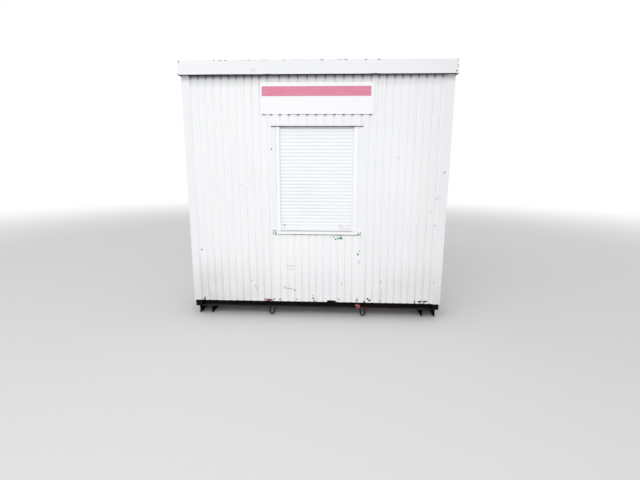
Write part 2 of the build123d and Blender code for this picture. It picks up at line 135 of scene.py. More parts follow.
def applyModifier(thing, kind, **settings):
    selectOnly(thing)
    added = thing.modifiers.new(kind.title(), kind)
    for key, value in settings.items():
        setattr(added, key, value)
    bpy.ops.object.modifier_apply(modifier=added.name)


def smoothBelow(thing, angle):
    selectOnly(thing)
    bpy.ops.object.shade_smooth_by_angle(angle=math.radians(angle))


def easeEdges(thing, radius, segments=2, sharperThan=20):
    applyModifier(thing, "BEVEL", width=radius, segments=segments, limit_method="ANGLE",
                  angle_limit=math.radians(sharperThan))
    smoothBelow(thing, 50)
    applyModifier(thing, "WEIGHTED_NORMAL", keep_sharp=True, weight=100)  # flat faces look flat


def justAdded(name, scale=(1, 1, 1)):
    added = bpy.context.object
    added.name = name
    added.scale = scale
    return fixPlace(added)


def addBlock(name, low, high):
    middle = [(a + b) / 2 for a, b in zip(low, high)]
    bpy.ops.mesh.primitive_cube_add(size=1, location=middle)
    return justAdded(name, [b - a for a, b in zip(low, high)])


def addRod(name, start, end, radius, sides, farRadius=None):
    run = Vector(end) - Vector(start)
    bpy.ops.mesh.primitive_cone_add(vertices=sides, radius1=radius, depth=run.length,
                                    radius2=radius if farRadius is None else farRadius,
                                    location=(Vector(start) + Vector(end)) / 2,
                                    rotation=run.to_track_quat("Z", "Y").to_euler())
    return justAdded(name)


def copyOf(thing, shift):
    copied = thing.copy()
    copied.data = thing.data.copy()
    bpy.context.scene.collection.objects.link(copied)
    copied.location = shift
    return fixPlace(copied)


def joinAll(name, pieces):
    selectOnly(pieces[0])
    for piece in pieces:
        piece.select_set(True)
    if len(pieces) > 1:
        bpy.ops.object.join()
    pieces[0].name = name
    return pieces[0]


def joinedBlocks(name, radius, boxes):
    blocks = [addBlock(name, low, high) for low, high in boxes]
    for block in blocks:
        easeEdges(block, radius)
    return joinAll(name, blocks)


def repeated(name, model, shifts):
    # one piece of copies of the model, which is removed
    copies = [copyOf(model, shift) for shift in shifts]
    bpy.data.objects.remove(model, do_unlink=True)
    return joinAll(name, copies)


def cutWith(thing, cutter):
    applyModifier(thing, "BOOLEAN", object=cutter, operation="DIFFERENCE", solver="EXACT")
    bpy.data.objects.remove(cutter, do_unlink=True)


def finishPiece(thing, slotName, *replaced, finish=None):
    thing.data.materials.clear()
    thing.data.materials.append(finish or finishes[slotName])
    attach(thing, "root")
    if replaced:
        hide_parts(*replaced)


def rubberPiece(thing):
    finishPiece(thing, "trim_paint", finish=rubberFinish)


# Finishes. They read Object coordinates, which are metres in the cabin's own frame.
# Colours are given as a screen shows them, 0 to 255.

def inLight(colour):
    # a colour, or its name in coats, in linear light
    shown = [part / 255 for part in coats.get(colour, colour)]
    return tuple(part / 12.92 if part < 0.04 else ((part + 0.055) / 1.055) ** 2.4 for part in shown)


class NodeTree:
    # the nodes of a material or a world

    def __init__(self, owner):
        owner.use_nodes = True
        self.tree = owner.node_tree

    def node(self, kind, inputs=None, **settings):
        made = self.tree.nodes.new("ShaderNode" + kind)
        for key, value in settings.items():
            setattr(made, key, value)
        for key, value in (inputs or {}).items():
            self.feed(value, made.inputs[key])
        return made

    def feed(self, source, socket):
        if isinstance(source, bpy.types.NodeSocket):
            self.tree.links.new(source, socket)
        else:
            socket.default_value = source

    def ramp(self, value, low, high, toLow=0.0, toHigh=1.0):
        return self.node("MapRange", {"Value": value, "From Min": low, "From Max": high, "To Min": toLow,
                                      "To Max": toHigh}, interpolation_type="SMOOTHSTEP").outputs["Result"]

    def maths(self, operation, first, second=0.0):
        return self.node("Math", {0: first, 1: second}, operation=operation).outputs[0]

    def combined(self, operation, values):
        result = values[0]
        for value in values[1:]:
            result = self.maths(operation, result, value)
        return result

    def times(self, *values):
        return self.combined("MULTIPLY", values)

    def highest(self, *values):
        return self.combined("MAXIMUM", values)


class Finish(NodeTree):
    # a material being built up, coat by coat

    def __init__(self, name, colour, roughness, metallic=0.0):
        self.material = bpy.data.materials.new(name)
        super().__init__(self.material)
        self.shader = self.tree.nodes["Principled BSDF"]
        self.shader.inputs["Roughness"].default_value = roughness
        self.shader.inputs["Metallic"].default_value = metallic
        self.place = self.node("TexCoord").outputs["Object"]
        self.coat = (*inLight(colour), 1)
        self.parts = None
        self.fray = None

    def noise(self, scale, detail, roughness=0.55, stretch=None):
        place = self.place
        if stretch:
            place = self.node("Mapping", {"Vector": place, "Scale": stretch}).outputs["Vector"]
        return self.node("TexNoise", {"Vector": place, "Scale": scale, "Detail": detail,
                                      "Roughness": roughness}).outputs["Fac"]

    def axis(self, letter):
        if self.parts is None:
            self.parts = self.node("SeparateXYZ", {0: self.place})
        return self.parts.outputs[letter]

    def fromMiddle(self, letter):
        # how far a place is from the cabin's middle along an axis, to either side
        return self.maths("ABSOLUTE", self.axis(letter))

    def between(self, value, low, high, soft):
        rising = self.ramp(value, low - soft, low + soft)
        return self.times(rising, self.ramp(value, high + soft, high - soft))

    def nearEaves(self, start, end, strength):
        # stronger from start to end, both measured down from the eaves
        return self.ramp(self.axis("Z"), eavesHeight - start, eavesHeight - end, 0, strength)

    def facing(self, letter):
        # how far the surface faces along one of the cabin's axes, from -1 to 1
        normal = self.node("NewGeometry").outputs["Normal"]
        return self.node("SeparateXYZ", {0: normal}).outputs[letter]

    def mark(self, x, z, halfWidth, halfHeight, turn=0, ragged=0.6, y=frontFace, depth=0.08):
        # a ragged spot on the end with the window, in millimetres but for y and depth
        if self.fray is None:
            self.fray = self.maths("SUBTRACT", self.noise(130, 4, 0.65), 0.5)
        spot = self.node("Mapping", {
            "Vector": self.place, "Location": (x / 1000, y, z / 1000), "Rotation": (0, math.radians(turn), 0),
            "Scale": (halfWidth / 1000, depth, halfHeight / 1000)}, vector_type="TEXTURE").outputs["Vector"]
        reach = self.node("VectorMath", {0: spot}, operation="LENGTH").outputs["Value"]
        return self.ramp(self.maths("ADD", reach, self.times(self.fray, 2 * ragged)), 1.12, 0.88)

    def marks(self, spots, **settings):
        return self.highest(*[self.mark(*spot, **settings) for spot in spots])

    def paint(self, colour, *masks):
        # a colour or its name in coats, as thick as all the masks together let it lie
        layers = {0: self.times(*masks), 6: self.coat, 7: (*inLight(colour), 1)}
        self.coat = self.node("Mix", layers, data_type="RGBA").outputs[2]

    def bump(self, height, strength, distance):
        made = self.node("Bump", {"Height": height, "Strength": strength, "Distance": distance})
        below = self.shader.inputs["Normal"]
        if below.links:
            self.feed(below.links[0].from_socket, made.inputs["Normal"])
        self.feed(made.outputs["Normal"], below)

    def gloss(self, value, low, high, more=0.0):
        roughness = self.maths("ADD", self.ramp(value, 0.3, 0.7, low, high), more)
        self.feed(roughness, self.shader.inputs["Roughness"])

    def done(self):
        self.feed(self.coat, self.shader.inputs["Base Color"])
        return self.material


coats = {"white": (243, 244, 246), "shade": (238, 239, 242), "run": (203, 203, 202),
         "splash": (205, 198, 198), "eavesGrimeAndShade": (150, 151, 155), "eavesShade": (92, 92, 96),
         "lining": (224, 224, 219), "oldGreen": (22, 104, 80), "paleGreen": (120, 190, 168),
         "bareMetalAndShade": (62, 63, 66), "scuff": (150, 150, 153), "rust": (176, 143, 132),
         "deepRust": (96, 62, 50), "steelDark": (8, 7, 9), "steelDustAndPaintedLight": (72, 69, 69),
         "steelRust": (74, 44, 34), "redOxide": (218, 142, 134), "deepRed": (120, 40, 36)}

# Where the front has lost paint: x, z, half width and half height in millimetres, turn in degrees
greenChips = [
    (232, 961, 10, 9), (295, 979, 13, 16), (272, 1012, 56, 5), (210, 989, 6, 10), (499, 784, 9, 14),
    (518, 822, 5, 9),
]
paleChips = [(266, 970, 20, 11), (310, 966, 10, 7)]
darkChips = [
    (-34, 267, 6, 6), (-32, 231, 8, 14, 14), (-20, 201, 8, 12), (-508, 210, 13, 7), (-438, 207, 11, 9),
    (-231, 213, 12, 5), (-1368, 203, 9, 20), (492, 214, 5, 24), (508, 212, 4, 26), (628, 233, 12, 11),
    (650, 213, 14, 13), (586, 196, 10, 12), (784, 212, 3, 22), (-510, 1993, 6, 10), (-1374, 818, 8, 10),
    (-784, 440, 6, 5), (1258, 209, 30, 11), (1318, 212, 28, 10), (1196, 204, 8, 11),
]
scuffs = [
    (-330, 348, 52, 7, 8), (-256, 326, 20, 10, 32), (-737, 372, 6, 22, -24), (-722, 343, 6, 12, -30),
    (282, 223, 26, 8, 28), (309, 417, 3, 36), (780, 444, 4, 38), (789, 300, 4, 80), (1407, 449, 4, 26),
    (513, 688, 7, 18), (13, 213, 4, 14), (-377, 366, 10, 10),
]
faintScuffs = [
    (-303, 630, 64, 8, 1), (-300, 588, 45, 6), (920, 1902, 13, 12), (1378, 1448, 14, 13, 20),
    (1408, 1462, 7, 18), (1378, 1138, 26, 10), (1322, 1300, 12, 18), (-864, 1595, 10, 10),
]
faintChip = (1448, 1741, 12, 14, 20)
rustPatches = [(-590, 201, 48, 16), (-548, 196, 30, 10)]


def wallPaint():
    wall = Finish("wallPaint", "white", 0.42)
    paint, ramp = wall.paint, wall.ramp
    height = wall.axis("Z")
    broad = wall.noise(0.8, 5)
    paint("shade", ramp(broad, 0.42, 0.66, 0, 0.4))
    # how far behind the outer faces a place is, which is more in a groove and most inside the cabin
    sideways = wall.maths("SUBTRACT", wall.fromMiddle("X"), sideFace)
    endways = wall.maths("SUBTRACT", wall.fromMiddle("Y"), rearFace)
    outward = wall.highest(sideways, endways)
    groove = ramp(outward, -0.001, -0.008)
    grime = wall.noise(5, 5, 0.6, (1, 1, 0.25))
    paint("run", groove, ramp(grime, 0.3, 0.7, 0, 0.06))
    paint("run", groove, ramp(height, 1.0, 0.25, 0, 0.24))
    # painted light in the grooves higher up, which lifts the shade that falls in them
    paint((248, 249, 251), groove, ramp(height, 0.9, 1.5, 0, 0.35))
    # fine runs of dirt, stronger low down and under the eaves
    runs = wall.noise(1.0, 3, 0.55, (55, 55, 0.55))
    lowDown = ramp(height, wallFoot + 1.0, wallFoot, 0.04, 0.3)
    paint("run", ramp(runs, 0.56, 0.72), wall.maths("ADD", lowDown, wall.nearEaves(0.5, 0, 0.3)))
    # splashes from the ground lie thickest by the corners, and the wall is painted darker towards the right
    # corner, higher up too
    byCorners = wall.highest(ramp(wall.axis("X"), -0.3, -1.4, 0.18, 1.6),
                             ramp(wall.axis("X"), 0.4, 1.4, 0.18, 0.95))
    paint("splash", ramp(height, wallFoot + 0.62, wallFoot + 0.02, 0, 0.44), byCorners,
          ramp(wall.noise(2.4, 5, 0.6), 0.35, 0.62, 0.45, 1))
    paint("run", ramp(wall.axis("X"), 1.0, 1.35), ramp(height, 2.1, 1.6, 0.10, 0.15))
    # painted shade under the eaves, on top of the grime there
    paint("eavesGrimeAndShade", wall.nearEaves(0.075, -0.004, 0.55))
    shade = wall.maths("ADD", wall.nearEaves(0.052, 0.006, 0.5), wall.nearEaves(0.15, 0.02, 0.24))
    paint("eavesShade", shade, ramp(wall.axis("X"), 1.3, -1.3, 0.8, 1.35))
    paint("eavesShade", groove, wall.nearEaves(0.060, 0.018, 0.5))
    # painted shadow: a dark line just under the fascia's lip
    paint("bareMetalAndShade", wall.nearEaves(0.024, 0.012, 0.4))
    paint("scuff", ramp(wall.noise(150, 3, 0.7), 0.6, 0.68), ramp(height, wallFoot + 0.11, wallFoot + 0.015),
          ramp(wall.noise(3.1, 3), 0.46, 0.6), 0.6)
    # painted light below the window, which lifts the sill's shade on the wall
    paint((253, 253, 254), ramp(wall.fromMiddle("X"), 0.52, 0.46), ramp(height, 0.35, 0.8, 0, 0.3),
          ramp(height, 1.12, 1.10))
    # the folded foot of the sheet is kept clean by drips
    paint("white", ramp(height, wallFoot + 0.014, wallFoot + 0.009),
          ramp(wall.noise(9, 3), 0.62, 0.5, 0.15, 0.9))
    paint("scuff", wall.marks(scuffs, ragged=0.8), 0.62)
    paint("scuff", wall.marks(faintScuffs, ragged=1.1), 0.26)
    paint("rust", wall.marks(rustPatches))
    paint("deepRust", wall.mark(-564, 197, 25, 11))
    pale = wall.marks(paleChips)
    paint("paleGreen", pale)
    green = wall.marks(greenChips)
    paint("oldGreen", green)
    bared = wall.marks(darkChips, ragged=0.8)
    paint("bareMetalAndShade", bared)
    # dark in the torn places, and the lining's colour inside the cabin
    paint((30, 30, 32), ramp(outward, -0.010, -0.014), ramp(height, wallFoot + 0.06, wallFoot + 0.05))
    inside = ramp(outward, -0.045, -0.055)
    paint("lining", inside)
    wall.gloss(broad, 0.36, 0.48, wall.times(inside, 0.2))
    wall.bump(wall.noise(1.9, 2), 0.12, 0.004)
    wall.bump(wall.maths("SUBTRACT", 1, wall.highest(pale, green, bared)), 0.6, 0.0008)
    wall.bump(wall.noise(420, 2), 0.06, 0.0004)
    return wall.done()


# Moss and flaking along the top edge of the front fascia, and knocks at its ends
fasciaSpots = [
    (-1116, 2930, 9, 6), (-1052, 2931, 34, 5), (-988, 2930, 12, 7), (-734, 2931, 12, 5),
    (-343, 2931, 20, 5), (60, 2930, 22, 7), (256, 2931, 40, 4), (318, 2930, 17, 7), (534, 2930, 15, 7),
    (672, 2930, 17, 7), (-1506, 2918, 5, 11), (1514, 2862, 5, 10), (1502, 2810, 11, 6), (1516, 2921, 4, 10),
    (-1525, 2810, 5, 18), (-1516, 2789, 10, 4),
]
fasciaFaint = [
    (-745, 2930, 105, 3), (-560, 2930, 60, 3), (-200, 2930, 60, 3), (-530, 2787, 18, 6), (640, 2788, 30, 5),
]
# The sill's end caps, where the top coat has come off round the edges
sillLeft, sillRight = openingLow.x * 1000, openingHigh.x * 1000
sillChips = [
    (sillLeft + 4, 1034, 5, 24), (sillLeft + 16, 1062, 17, 5), (sillLeft + 33, 1036, 8, 18),
    (sillLeft + 22, 1020, 22, 4), (sillRight - 3, 1036, 5, 18), (sillRight - 30, 1022, 26, 5),
    (sillRight - 26, 1036, 6, 10), (sillLeft + 72, 1064, 40, 4),
]


def trimPaint():
    trim = Finish("trimPaint", (240, 241, 245), 0.4)
    paint, ramp = trim.paint, trim.ramp
    height = trim.axis("Z")
    broad = trim.noise(1.3, 5)
    paint("shade", ramp(broad, 0.44, 0.68, 0, 0.6))
    runs = trim.noise(1.0, 3, 0.55, (45, 45, 1.2))
    paint("run", ramp(runs, 0.58, 0.74), ramp(height, 1.4, 0.2, 0.12, 0.45))
    paint("splash", ramp(height, wallFoot + 0.6, wallFoot, 0, 0.45))
    paint("run", ramp(trim.axis("X"), 0.9, 1.5, 0, 0.1))
    paint("scuff", trim.marks(fasciaFaint, y=fasciaFace, depth=0.014), 0.6)
    paint((70, 72, 66), trim.marks(fasciaSpots, ragged=0.5, y=fasciaFace, depth=0.014))
    paint("scuff", trim.mark(-695, 2826, 34, 20, ragged=1.2, y=fasciaFace, depth=0.014), 0.15)
    # shade on the posts under the fascia
    paint("eavesShade", trim.nearEaves(0.09, 0.008, 0.6), ramp(height, eavesHeight, eavesHeight - 0.001))
    paint("bareMetalAndShade", trim.mark(*faintChip, ragged=0.6), 0.45)
    chipped = trim.marks(sillChips, ragged=0.7)
    paint((84, 104, 98), chipped, 0.85)
    sill = trim.times(trim.between(height, openingLow.z - 0.03, openingLow.z + 0.04, 0.001),
                      ramp(trim.fromMiddle("X"), 0.53, 0.52),
                      ramp(trim.axis("Y"), -2.90, -2.92),
                      trim.maths("SUBTRACT", 1, chipped))
    paint((250, 251, 252), sill, 0.9)
    paint((222, 222, 224), sill, ramp(trim.facing("Z"), 0.5, 0.8))
    trim.gloss(broad, 0.34, 0.48)
    trim.bump(trim.maths("SUBTRACT", 1, chipped), 0.5, 0.0006)
    trim.bump(trim.noise(380, 2), 0.06, 0.0004)
    return trim.done()


# Red primer that is left on the front rail
redPatches = [(517, 110, 27, 12), (503, 119, 16, 7), (527, 106, 18, 8)]
redStreaks = [(600, 101, 55, 5), (860, 101, 45, 6)]


def basePaint():
    steel = Finish("basePaint", "steelDark", 0.62)
    paint, ramp = steel.paint, steel.ramp
    steel.shader.inputs["Specular IOR Level"].default_value = 0.12
    grit = steel.noise(14, 6, 0.65)
    paint("steelDustAndPaintedLight", ramp(grit, 0.5, 0.8, 0, 0.06))
    # dust lies on what faces up, and the toes of the channels are worn; both are painted lighter still, as
    # painted light where the sky falls on them
    upward = ramp(steel.facing("Z"), 0.4, 0.9)
    paint("steelDustAndPaintedLight", upward, ramp(grit, 0.3, 0.6, 0.45, 0.95))
    toe = steel.highest(ramp(steel.fromMiddle("Y"), 2.9535, 2.9545),
                        ramp(steel.fromMiddle("X"), 1.4535, 1.4545))
    flange = steel.between(steel.axis("Z"), 0.094, 0.105, 0.001)
    paint("steelDustAndPaintedLight", toe, flange, ramp(grit, 0.35, 0.55, 0.4, 0.9))
    scale = steel.noise(26, 6, 0.7)
    paint("steelRust", ramp(scale, 0.6, 0.7), ramp(steel.noise(2.3, 3), 0.5, 0.62))
    paint("deepRed", steel.marks(redStreaks, ragged=0.8, y=-2.95), 0.4)
    paint("redOxide", steel.marks(redPatches, ragged=0.8, y=-2.93))
    steel.gloss(grit, 0.5, 0.8)
    steel.bump(scale, 0.3, 0.0012)
    return steel.done()


# Brown stains run from the stops of the shutter
shutterStains = [
    (300, 1098, 50, 8), (390, 1094, 44, 7), (350, 1073, 85, 8), (-392, 1088, 48, 5), (-372, 1104, 14, 6),
]


def shutterPaint():
    coat = Finish("shutterPaint", (248, 250, 252), 0.42)
    grime = coat.noise(1.4, 4)
    coat.paint((230, 234, 238), coat.ramp(grime, 0.45, 0.72, 0, 0.2))
    # painted shade where each slat turns under, and dirt runs a little
    under = coat.ramp(coat.facing("Z"), 0.12, -0.5)
    coat.paint((210, 217, 224), under, coat.ramp(grime, 0.3, 0.7, 0.22, 0.40))
    runs = coat.noise(1.0, 3, 0.55, (60, 60, 1.5))
    coat.paint("run", coat.ramp(runs, 0.58, 0.72, 0, 0.06))
    coat.paint((205, 186, 180), coat.marks(shutterStains, ragged=1.3), 0.35)
    coat.gloss(grime, 0.36, 0.5)
    coat.bump(coat.noise(300, 2), 0.05, 0.0003)
    return coat.done()


def paneGlass():
    pane = Finish("paneGlass", (246, 250, 249), 0.03)
    pane.coat = (0.92, 0.96, 0.95, 1)  # in linear light
    pane.shader.inputs["Transmission Weight"].default_value = 1.0
    pane.shader.inputs["IOR"].default_value = 1.45
    pane.feed(pane.ramp(pane.noise(5, 5), 0.5, 0.8, 0.02, 0.12), pane.shader.inputs["Roughness"])
    pane.bump(pane.noise(1.5, 1), 0.02, 0.002)
    return pane.done()


sign = {"white": (246, 246, 249), "band": (222, 130, 158), "bandRim": 0.0022,
        "rimColour": (150, 122, 140), "bandTop": 0.045, "bandHeight": 0.0975, "leftMargin": 0.020,
        "rightMargin": 0.038, "soft": 0.0008}


def signFace():
    face = Finish("signFace", sign["white"], 0.3)
    low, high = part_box("sign_board")
    grime = face.noise(3, 5)
    face.paint("shade", face.ramp(grime, 0.5, 0.75, 0, 0.12))
    left, right = low.x + sign["leftMargin"], high.x - sign["rightMargin"]
    top = high.z - sign["bandTop"]
    foot = top - sign["bandHeight"]

    def bandWith(rim):
        return face.times(face.between(face.axis("X"), left - rim, right + rim, sign["soft"]),
                          face.between(face.axis("Z"), foot - rim, top + rim, sign["soft"]))

    band = bandWith(0)
    face.paint(sign["rimColour"], bandWith(sign["bandRim"]))
    face.paint(sign["band"], band)
    # the foil has faded in long patches
    faded = face.noise(1.0, 5, 0.6, (5, 5, 14))
    face.paint((238, 160, 184), band, face.ramp(faded, 0.5, 0.7, 0, 0.3))
    face.gloss(grime, 0.26, 0.4)
    face.bump(band, 0.3, 0.0003)
    face.bump(face.noise(200, 2), 0.04, 0.0003)
    return face.done()


def roofPaint():
    sheet = Finish("roofPaint", (214, 216, 218), 0.55)
    dirt = sheet.noise(2.2, 6, 0.6)
    sheet.paint((168, 166, 160), sheet.ramp(dirt, 0.4, 0.7, 0, 0.8))
    moss = sheet.ramp(sheet.noise(24, 6, 0.7), 0.56, 0.68)
    sheet.paint((98, 102, 78), moss, sheet.ramp(sheet.noise(1.2, 3), 0.5, 0.65))
    runs = sheet.noise(1, 4, 0.6, (1.5, 20, 1.5))
    sheet.paint((140, 137, 130), sheet.ramp(runs, 0.55, 0.75, 0, 0.45))
    sheet.gloss(dirt, 0.45, 0.75)
    sheet.bump(sheet.noise(60, 5), 0.2, 0.0008)
    return sheet.done()


def floorBoard():
    board = Finish("floorBoard", (146, 112, 80), 0.6)
    grain = board.noise(1, 6, 0.6, (60, 3, 60))
    board.paint((112, 82, 56), board.ramp(grain, 0.35, 0.7))
    board.paint((86, 70, 56), board.ramp(board.noise(3, 5), 0.55, 0.75, 0, 0.6))
    board.bump(grain, 0.2, 0.0006)
    return board.done()


def handleMetal():
    metal = Finish("handleMetal", (196, 197, 199), 0.32, 1.0)
    brushed = metal.noise(1, 3, 0.6, (6, 400, 400))
    metal.gloss(brushed, 0.24, 0.4)
    metal.bump(brushed, 0.05, 0.0003)
    return metal.done()


def plainFinish(name, colour, roughness, dirtColour, dirt, thickness, grain, metallic=0.0, shine=None):
    # one colour under patches of dirt, with a fine grain
    coat = Finish(name, colour, roughness, metallic)
    patches = coat.noise(*dirt)
    coat.paint(dirtColour, coat.ramp(patches, *thickness))
    if shine:
        coat.gloss(patches, *shine)
    coat.bump(coat.noise(*grain[:2]), *grain[2:])
    return coat.done()


finishes = {
    "wall_paint": wallPaint(),
    "trim_paint": trimPaint(),
    "base_steel": basePaint(),
    "shutter": shutterPaint(),
    "guide": plainFinish("guideCoat", (247, 248, 250), 0.34, "shade", (4, 4), (0.5, 0.75, 0, 0.35),
                         (300, 2, 0.05, 0.0003), shine=(0.3, 0.42)),
    "window_plastic": plainFinish("windowPlastic", (241, 241, 240), 0.28, (226, 226, 220), (6, 4),
                                  (0.5, 0.75, 0, 0.4), (240, 2, 0.04, 0.0003), shine=(0.24, 0.38)),
    "glazing": paneGlass(),
    "sign_face": signFace(),
    "roof_paint": roofPaint(),
    "floor_board": floorBoard(),
    "lining": plainFinish("liningBoard", "lining", 0.6, (212, 211, 204), (4, 4), (0.4, 0.7, 0, 0.5),
                          (150, 3, 0.1, 0.0004)),
    "handle_metal": handleMetal(),
}
rubberFinish = plainFinish("darkRubber", (38, 38, 40), 0.7, (82, 81, 80), (30, 5), (0.5, 0.75, 0, 0.6),
                           (200, 3, 0.2, 0.0005))
zincFinish = plainFinish("zincFixing", (176, 178, 180), 0.42, (132, 92, 66), (90, 5, 0.7),
                         (0.52, 0.66, 0, 0.9), (240, 3, 0.2, 0.0004), metallic=1.0)
for name, thing in nodes.items():
    thing.data.materials.clear()
    thing.data.materials.append(finishes[slotOf[name]])
print("finishes made:", len(finishes) + 2)


# Folded sheet and rolled steel: each is the node's own shape, merged, with its folds rounded

def ownCopy(nodeName):
    copied = bpy.data.objects.new(nodeName.replace("_", "-"), nodes[nodeName].data.copy())
    bpy.context.scene.collection.objects.link(copied)
    startEditing(copied, "VERT")
    selectAll()
    bpy.ops.mesh.remove_doubles(threshold=0.00002)
    bpy.ops.mesh.dissolve_limited(angle_limit=math.radians(1))
    stopEditing()
    return copied


def standIn(copied, nodeName, radius, **easing):
    easeEdges(copied, radius, **easing)
    finishPiece(copied, slotOf[nodeName], nodeName)


def foldedCopy(nodeName, radius, cutters=(), **easing):
    copied = ownCopy(nodeName)
    for cutter in cutters:
        cutWith(copied, cutter)
    standIn(copied, nodeName, radius, **easing)


folds = {"wall": 0.0022, "post": 0.0015, "fascia": 0.0012, "window": 0.001, "flashing": 0.0005,
         "steel": 0.002}

# The torn foot of the front sheets: x, width and height of each bit that is missing
tornFoot = {
    "front_wall_below_window": [(0.191, 0.118, 0.020), (-0.020, 0.014, 0.010)],
    "front_wall_left": [(-1.368, 0.016, 0.034), (-0.585, 0.030, 0.006)],
    "front_wall_right": [(0.588, 0.020, 0.012), (1.191, 0.012, 0.010), (1.251, 0.011, 0.020),
                         (1.306, 0.012, 0.018)],
}
tear = {"clear": 0.02, "lap": 0.038, "narrowing": 0.86}


def tearCutter(x, width, height):
    # a wedge that is wider at the foot, through the lap of the sheet
    clear = tear["clear"]
    cutter = addBlock("tearCutter", (x - width / 2, frontFace - clear, wallFoot - clear),
                      (x + width / 2, frontFace + tear["lap"], wallFoot + height))
    pickSide(cutter, 0, 0, 1)
    scalePicked(tear["narrowing"], 1, 1)
    return cutter


for name in nodes:
    if "wall" in name:
        foldedCopy(name, folds["wall"], [tearCutter(*bit) for bit in tornFoot.get(name, [])])
print("walls done")

for name in nodes:
    if name.startswith("corner_post") and name != "corner_post_front_right":
        foldedCopy(name, folds["post"])
    elif name in ("fascia_rear", "fascia_left", "fascia_right"):
        foldedCopy(name, folds["fascia"])
    elif name == "window_head_flashing":
        foldedCopy(name, folds["flashing"])
    elif slotOf[name] == "base_steel" and name != "towing_eyes":
        foldedCopy(name, folds["steel"])
    elif name in ("window_jambs", "window_sill", "sill_caps", "door_threshold", "door_frame", "door_leaf",
                  "window_frame", "shutter_box", "roof_sheet"):
        foldedCopy(name, folds["window"])
print("trim and steel done")


# The right front corner post hangs a little low at its foot
hang = {"from": 0.05, "drop": 0.006}


def frontRightPost():
    post = ownCopy("corner_post_front_right")
    splitAt(post, (0, 0, 1), [wallFoot + hang["from"]])
    pickPoints(post, lambda place: place.z < wallFoot + closeBy)
    movePicked(0, 0, -hang["drop"])
    standIn(post, "corner_post_front_right", folds["post"])


# Front fascia, with its drip lip bent up at the left corner and knocked in some places
knocks = {"bentFrom": -1.500, "bentTo": -1.512, "bentUp": 0.014, "bentIn": 0.001, "lipFace": -3.014,
          "lipHeight": 0.006,
          "dents": [(-0.53, 0.05, 0.003), (0.63, 0.09, 0.004), (-1.05, 0.30, 0.002)]}  # x, half width, depth


def frontFascia():
    fascia = ownCopy("fascia_front")
    lipTop = eavesHeight + knocks["lipHeight"]
    bends = [knocks["bentFrom"], knocks["bentTo"]]
    splitAt(fascia, (1, 0, 0), bends + [x + side * width for x, width, depth in knocks["dents"]
                                        for side in (-1, 0, 1)])
    pickPoints(fascia, lambda place: place.x < knocks["bentTo"] - closeBy
               and place.y < knocks["lipFace"] and place.z < lipTop)
    movePicked(0, knocks["bentIn"], knocks["bentUp"])
    for x, width, depth in knocks["dents"]:
        pickPoints(fascia, lambda place: abs(place.x - x) < closeBy and place.z < lipTop)
        movePicked(0, depth, depth)
    standIn(fascia, "fascia_front", folds["fascia"])


# Dark seal in the gap behind the drip lip, all round the cabin, standing in for the shadow in that gap
seal = {"below": 0.004, "above": 0.030, "clear": 0.0005, "reach": 0.0125, "joint": 0.0003, "edge": 0.002}


def makeEavesShadowSeal():
    bottom, top = eavesHeight - seal["below"], eavesHeight + seal["above"]
    inX, inY = sideFace + seal["clear"], rearFace + seal["clear"]
    outX, outY = sideFace + seal["reach"], rearFace + seal["reach"]
    endY = inY - seal["joint"]
    rubberPiece(joinedBlocks("eavesShadowSeal", seal["edge"], [
        ((-outX, -outY, bottom), (outX, -inY, top)), ((-outX, inY, bottom), (outX, outY, top)),
        ((-outX, -endY, bottom), (-inX, endY, top)), ((inX, -endY, bottom), (outX, endY, top))]))


frontRightPost()
frontFascia()
makeEavesShadowSeal()
foldedCopy("sign_board", folds["window"], sharperThan=30)
print("fascia and sign done")


# Roller shutter
shutter = {"pitch": 0.0395, "jointGap": 0.0035, "topGap": 0.0005, "bulge": 0.0062, "sheet": 0.0011,
           "steps": 9}
curtainLow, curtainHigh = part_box("shutter_curtain")
barLow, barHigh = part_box("shutter_bottom_bar")


def makeSlats():
    # one slat is the strip of its back fold, swept up over the bowed face with the spin tool
    left, right = curtainLow.x, curtainHigh.x
    foot = barHigh.z
    backY = curtainLow.y + shutter["bulge"] + shutter["sheet"]
    faceFoot = foot + shutter["jointGap"]
    faceTop = foot + shutter["pitch"] - shutter["topGap"]
    chord = faceTop - faceFoot
    radius = (chord ** 2 / 4 + shutter["bulge"] ** 2) / (2 * shutter["bulge"])
    bow = 2 * math.asin(chord / 2 / radius)
    middleY = backY - shutter["bulge"] + radius
    bpy.ops.mesh.primitive_plane_add(size=1, location=((left + right) / 2, backY, (foot + faceFoot) / 2),
                                     rotation=(math.radians(90), 0, 0))
    slat = justAdded("slat", (right - left, shutter["jointGap"], 1))
    pickEdges(slat, lambda end: end.z > faceFoot - closeBy)
    bpy.ops.mesh.spin(steps=shutter["steps"], angle=bow, center=(0, middleY, (faceFoot + faceTop) / 2),
                      axis=(1, 0, 0))
    selectAll()
    bpy.ops.mesh.remove_doubles(threshold=0.00001)
    bpy.ops.mesh.normals_make_consistent(inside=False)
    stopEditing()
    # the faces must point out of the cabin before the sheet gets its thickness
    if sum(face.normal.y for face in slat.data.polygons) > 0:
        startEditing(slat)
        selectAll()
        bpy.ops.mesh.flip_normals()
        stopEditing()
    applyModifier(slat, "SOLIDIFY", thickness=shutter["sheet"], offset=-1)
    smoothBelow(slat, 30)
    count = int((curtainHigh.z - barHigh.z) / shutter["pitch"] + 0.01)
    slats = repeated("shutterSlats", slat, [(0, 0, step * shutter["pitch"]) for step in range(count)])
    finishPiece(slats, "shutter", "shutter_curtain")
    print("slats:", count)


# Two shallow lines run along the bottom bar
barLines = {"aboveFoot": 0.0175, "belowTop": 0.0095, "halfWidth": 0.0015, "depth": 0.002, "edge": 0.0006}


